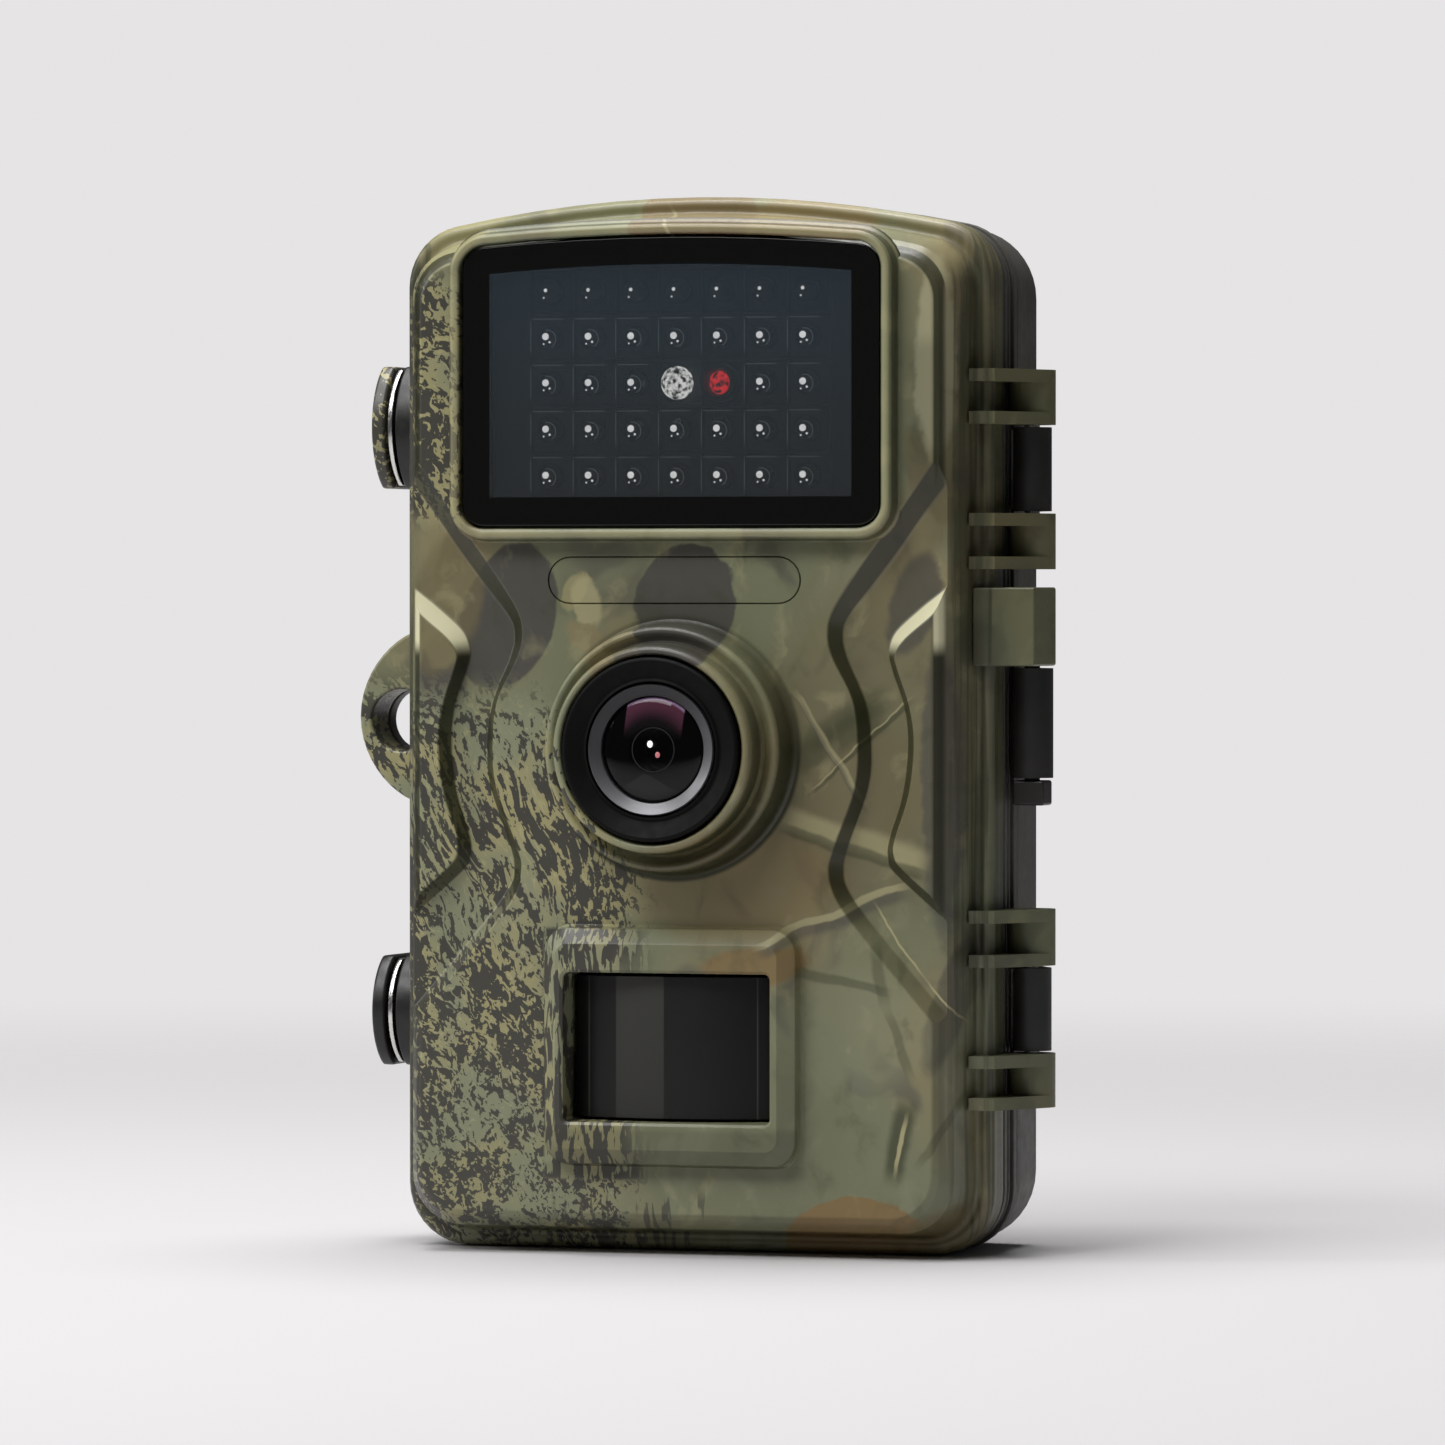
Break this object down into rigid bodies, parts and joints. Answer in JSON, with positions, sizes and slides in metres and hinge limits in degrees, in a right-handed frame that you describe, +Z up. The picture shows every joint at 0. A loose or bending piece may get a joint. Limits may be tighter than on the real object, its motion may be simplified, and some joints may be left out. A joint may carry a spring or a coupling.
{
  "type": "trail camera",
  "caption": "Camouflaged wildlife camera: hinged front half with infrared flash window, lens and heat sensor, side latches, padlock ear, and a rear half that straps to a tree.",
  "frame": {"origin": "centre of the camera's base, on the surface it stands on", "axes": "+Z up, -Y out of the lens, +X to the hinge side"},
  "size_m": [0.0922, 0.0572, 0.135],
  "materials": {
    "camo_shell": "camouflage print, satin",
    "rear_charcoal": "fine moulded texture",
    "black_gloss": "polished black",
    "black_satin": "satin black",
    "grey_ring": "turned and anodised",
    "steel": "plain",
    "brass": "turned",
    "window_black": "tinted, black border",
    "lens_coated": "coated optical glass",
    "led_clear": "clear moulded lens",
    "led_red": "red diffused lens",
    "sensor_white": "frosted",
    "pir_window": "smooth smoked polyethylene",
    "board_green": "solder mask",
    "rubber": "matt",
    "cell_wrap": "plain wrap",
    "display_glass": "dark",
    "ribbon_film": "polyimide film"
  },
  "bodies": {
    "rear_half": {"rear_shell": "rear_charcoal", "gasket": "rubber", "battery_tray": "black_satin", "battery_cell_1": "cell_wrap", "battery_cell_2": "cell_wrap", "battery_cell_3": "cell_wrap", "battery_cell_4": "cell_wrap", "battery_contact": "steel", "strap_bracket": "rear_charcoal", "bracket_screw_upper": "steel", "bracket_screw_lower": "steel", "tripod_insert": "brass", "power_socket": "black_satin", "hinge_barrel_upper": "black_gloss", "hinge_barrel_lower": "black_gloss", "hinge_pin_upper": "steel", "hinge_pin_lower": "steel", "lock_pin_housing": "black_gloss", "latch_base_upper": "black_satin", "latch_base_lower": "black_satin", "latch_pin_upper": "steel", "latch_pin_lower": "steel", "hinge_ribbon": "ribbon_film"},
    "front_cover": {"front_shell": "camo_shell", "window_glass": "window_black", "flash_board": "board_green", "flash_leds": "led_clear", "status_led": "led_red", "light_sensor": "sensor_white", "lens_ring": "black_satin", "lens_bezel": "grey_ring", "lens_glass": "lens_coated", "lens_barrel": "black_satin", "sensor_board": "board_green", "pir_lens": "pir_window", "pir_sensor": "steel", "main_board": "board_green", "inner_cover": "black_satin", "display": "display_glass", "latch_catch_upper": "black_satin", "latch_catch_lower": "black_satin", "card_socket": "steel", "usb_socket": "steel", "inner_screw_1": "steel", "inner_screw_2": "steel", "inner_screw_3": "steel", "inner_screw_4": "steel"},
    "lock_pin": {"lock_pin": "black_gloss"},
    "upper_lever": {"latch_lever_upper": "camo_shell"},
    "lower_lever": {"latch_lever_lower": "black_satin"},
    "upper_bail": {"latch_bail_upper": "steel"},
    "lower_bail": {"latch_bail_lower": "steel"},
    "port_flap": {"port_cover": "rubber"},
    "card": {"memory_card": "black_satin"},
    "switch": {"mode_switch": "black_gloss"},
    "up_key": {"key_up": "rubber"},
    "down_key": {"key_down": "rubber"},
    "left_key": {"key_left": "rubber"},
    "right_key": {"key_right": "rubber"},
    "ok_key": {"key_ok": "rubber"}
  },
  "joints": [
    {"name": "cover_hinge", "type": "hinge", "parent": "rear_half", "child": "front_cover", "pos_m": [0.04315, -0.00075, 0.067], "axis": [0, 0, 1], "range_deg": [0, 110], "deforming": ["hinge_ribbon"]},
    {"name": "latch_upper", "type": "hinge", "parent": "rear_half", "child": "upper_lever", "pos_m": [-0.04265, 0.01175, 0.10585], "axis": [0, 0, -1], "range_deg": [0, 100]},
    {"name": "bail_upper", "type": "hinge", "parent": "upper_lever", "child": "upper_bail", "pos_m": [-0.0425, 0.00755, 0.10585], "axis": [0, 0, 1], "range_deg": [0, 36]},
    {"name": "latch_lower", "type": "hinge", "parent": "rear_half", "child": "lower_lever", "pos_m": [-0.04265, 0.01175, 0.02985], "axis": [0, 0, -1], "range_deg": [0, 100]},
    {"name": "bail_lower", "type": "hinge", "parent": "lower_lever", "child": "lower_bail", "pos_m": [-0.0425, 0.00755, 0.02985], "axis": [0, 0, 1], "range_deg": [0, 36]},
    {"name": "lock_slide", "type": "slide", "parent": "rear_half", "child": "lock_pin", "axis": [0, 0, -1], "range_m": [0, 0.0034], "stiffness_N_per_m": 200, "springref_m": -0.002},
    {"name": "port_hinge", "type": "hinge", "parent": "rear_half", "child": "port_flap", "pos_m": [-0.01925, 0.01205, 0.0009], "axis": [1, 0, 0], "range_deg": [0, 100]},
    {"name": "card_slide", "type": "slide", "parent": "front_cover", "child": "card", "axis": [0, 1, 0], "range_m": [0, 0.012]},
    {"name": "switch_slide", "type": "slide", "parent": "front_cover", "child": "switch", "axis": [1, 0, 0], "range_m": [-0.003, 0.003]},
    {"name": "key_up_press", "type": "slide", "parent": "front_cover", "child": "up_key", "axis": [0, -1, 0], "range_m": [0, 0.0006], "stiffness_N_per_m": 500, "springref_m": -0.0004},
    {"name": "key_down_press", "type": "slide", "parent": "front_cover", "child": "down_key", "axis": [0, -1, 0], "range_m": [0, 0.0006], "stiffness_N_per_m": 500, "springref_m": -0.0004},
    {"name": "key_left_press", "type": "slide", "parent": "front_cover", "child": "left_key", "axis": [0, -1, 0], "range_m": [0, 0.0006], "stiffness_N_per_m": 500, "springref_m": -0.0004},
    {"name": "key_right_press", "type": "slide", "parent": "front_cover", "child": "right_key", "axis": [0, -1, 0], "range_m": [0, 0.0006], "stiffness_N_per_m": 500, "springref_m": -0.0004},
    {"name": "key_ok_press", "type": "slide", "parent": "front_cover", "child": "ok_key", "axis": [0, -1, 0], "range_m": [0, 0.0006], "stiffness_N_per_m": 500, "springref_m": -0.0004}
  ],
  "couplings": [
    {"joint": "bail_upper", "follows": "latch_upper", "ratio": 0.35},
    {"joint": "bail_lower", "follows": "latch_lower", "ratio": 0.35}
  ]
}
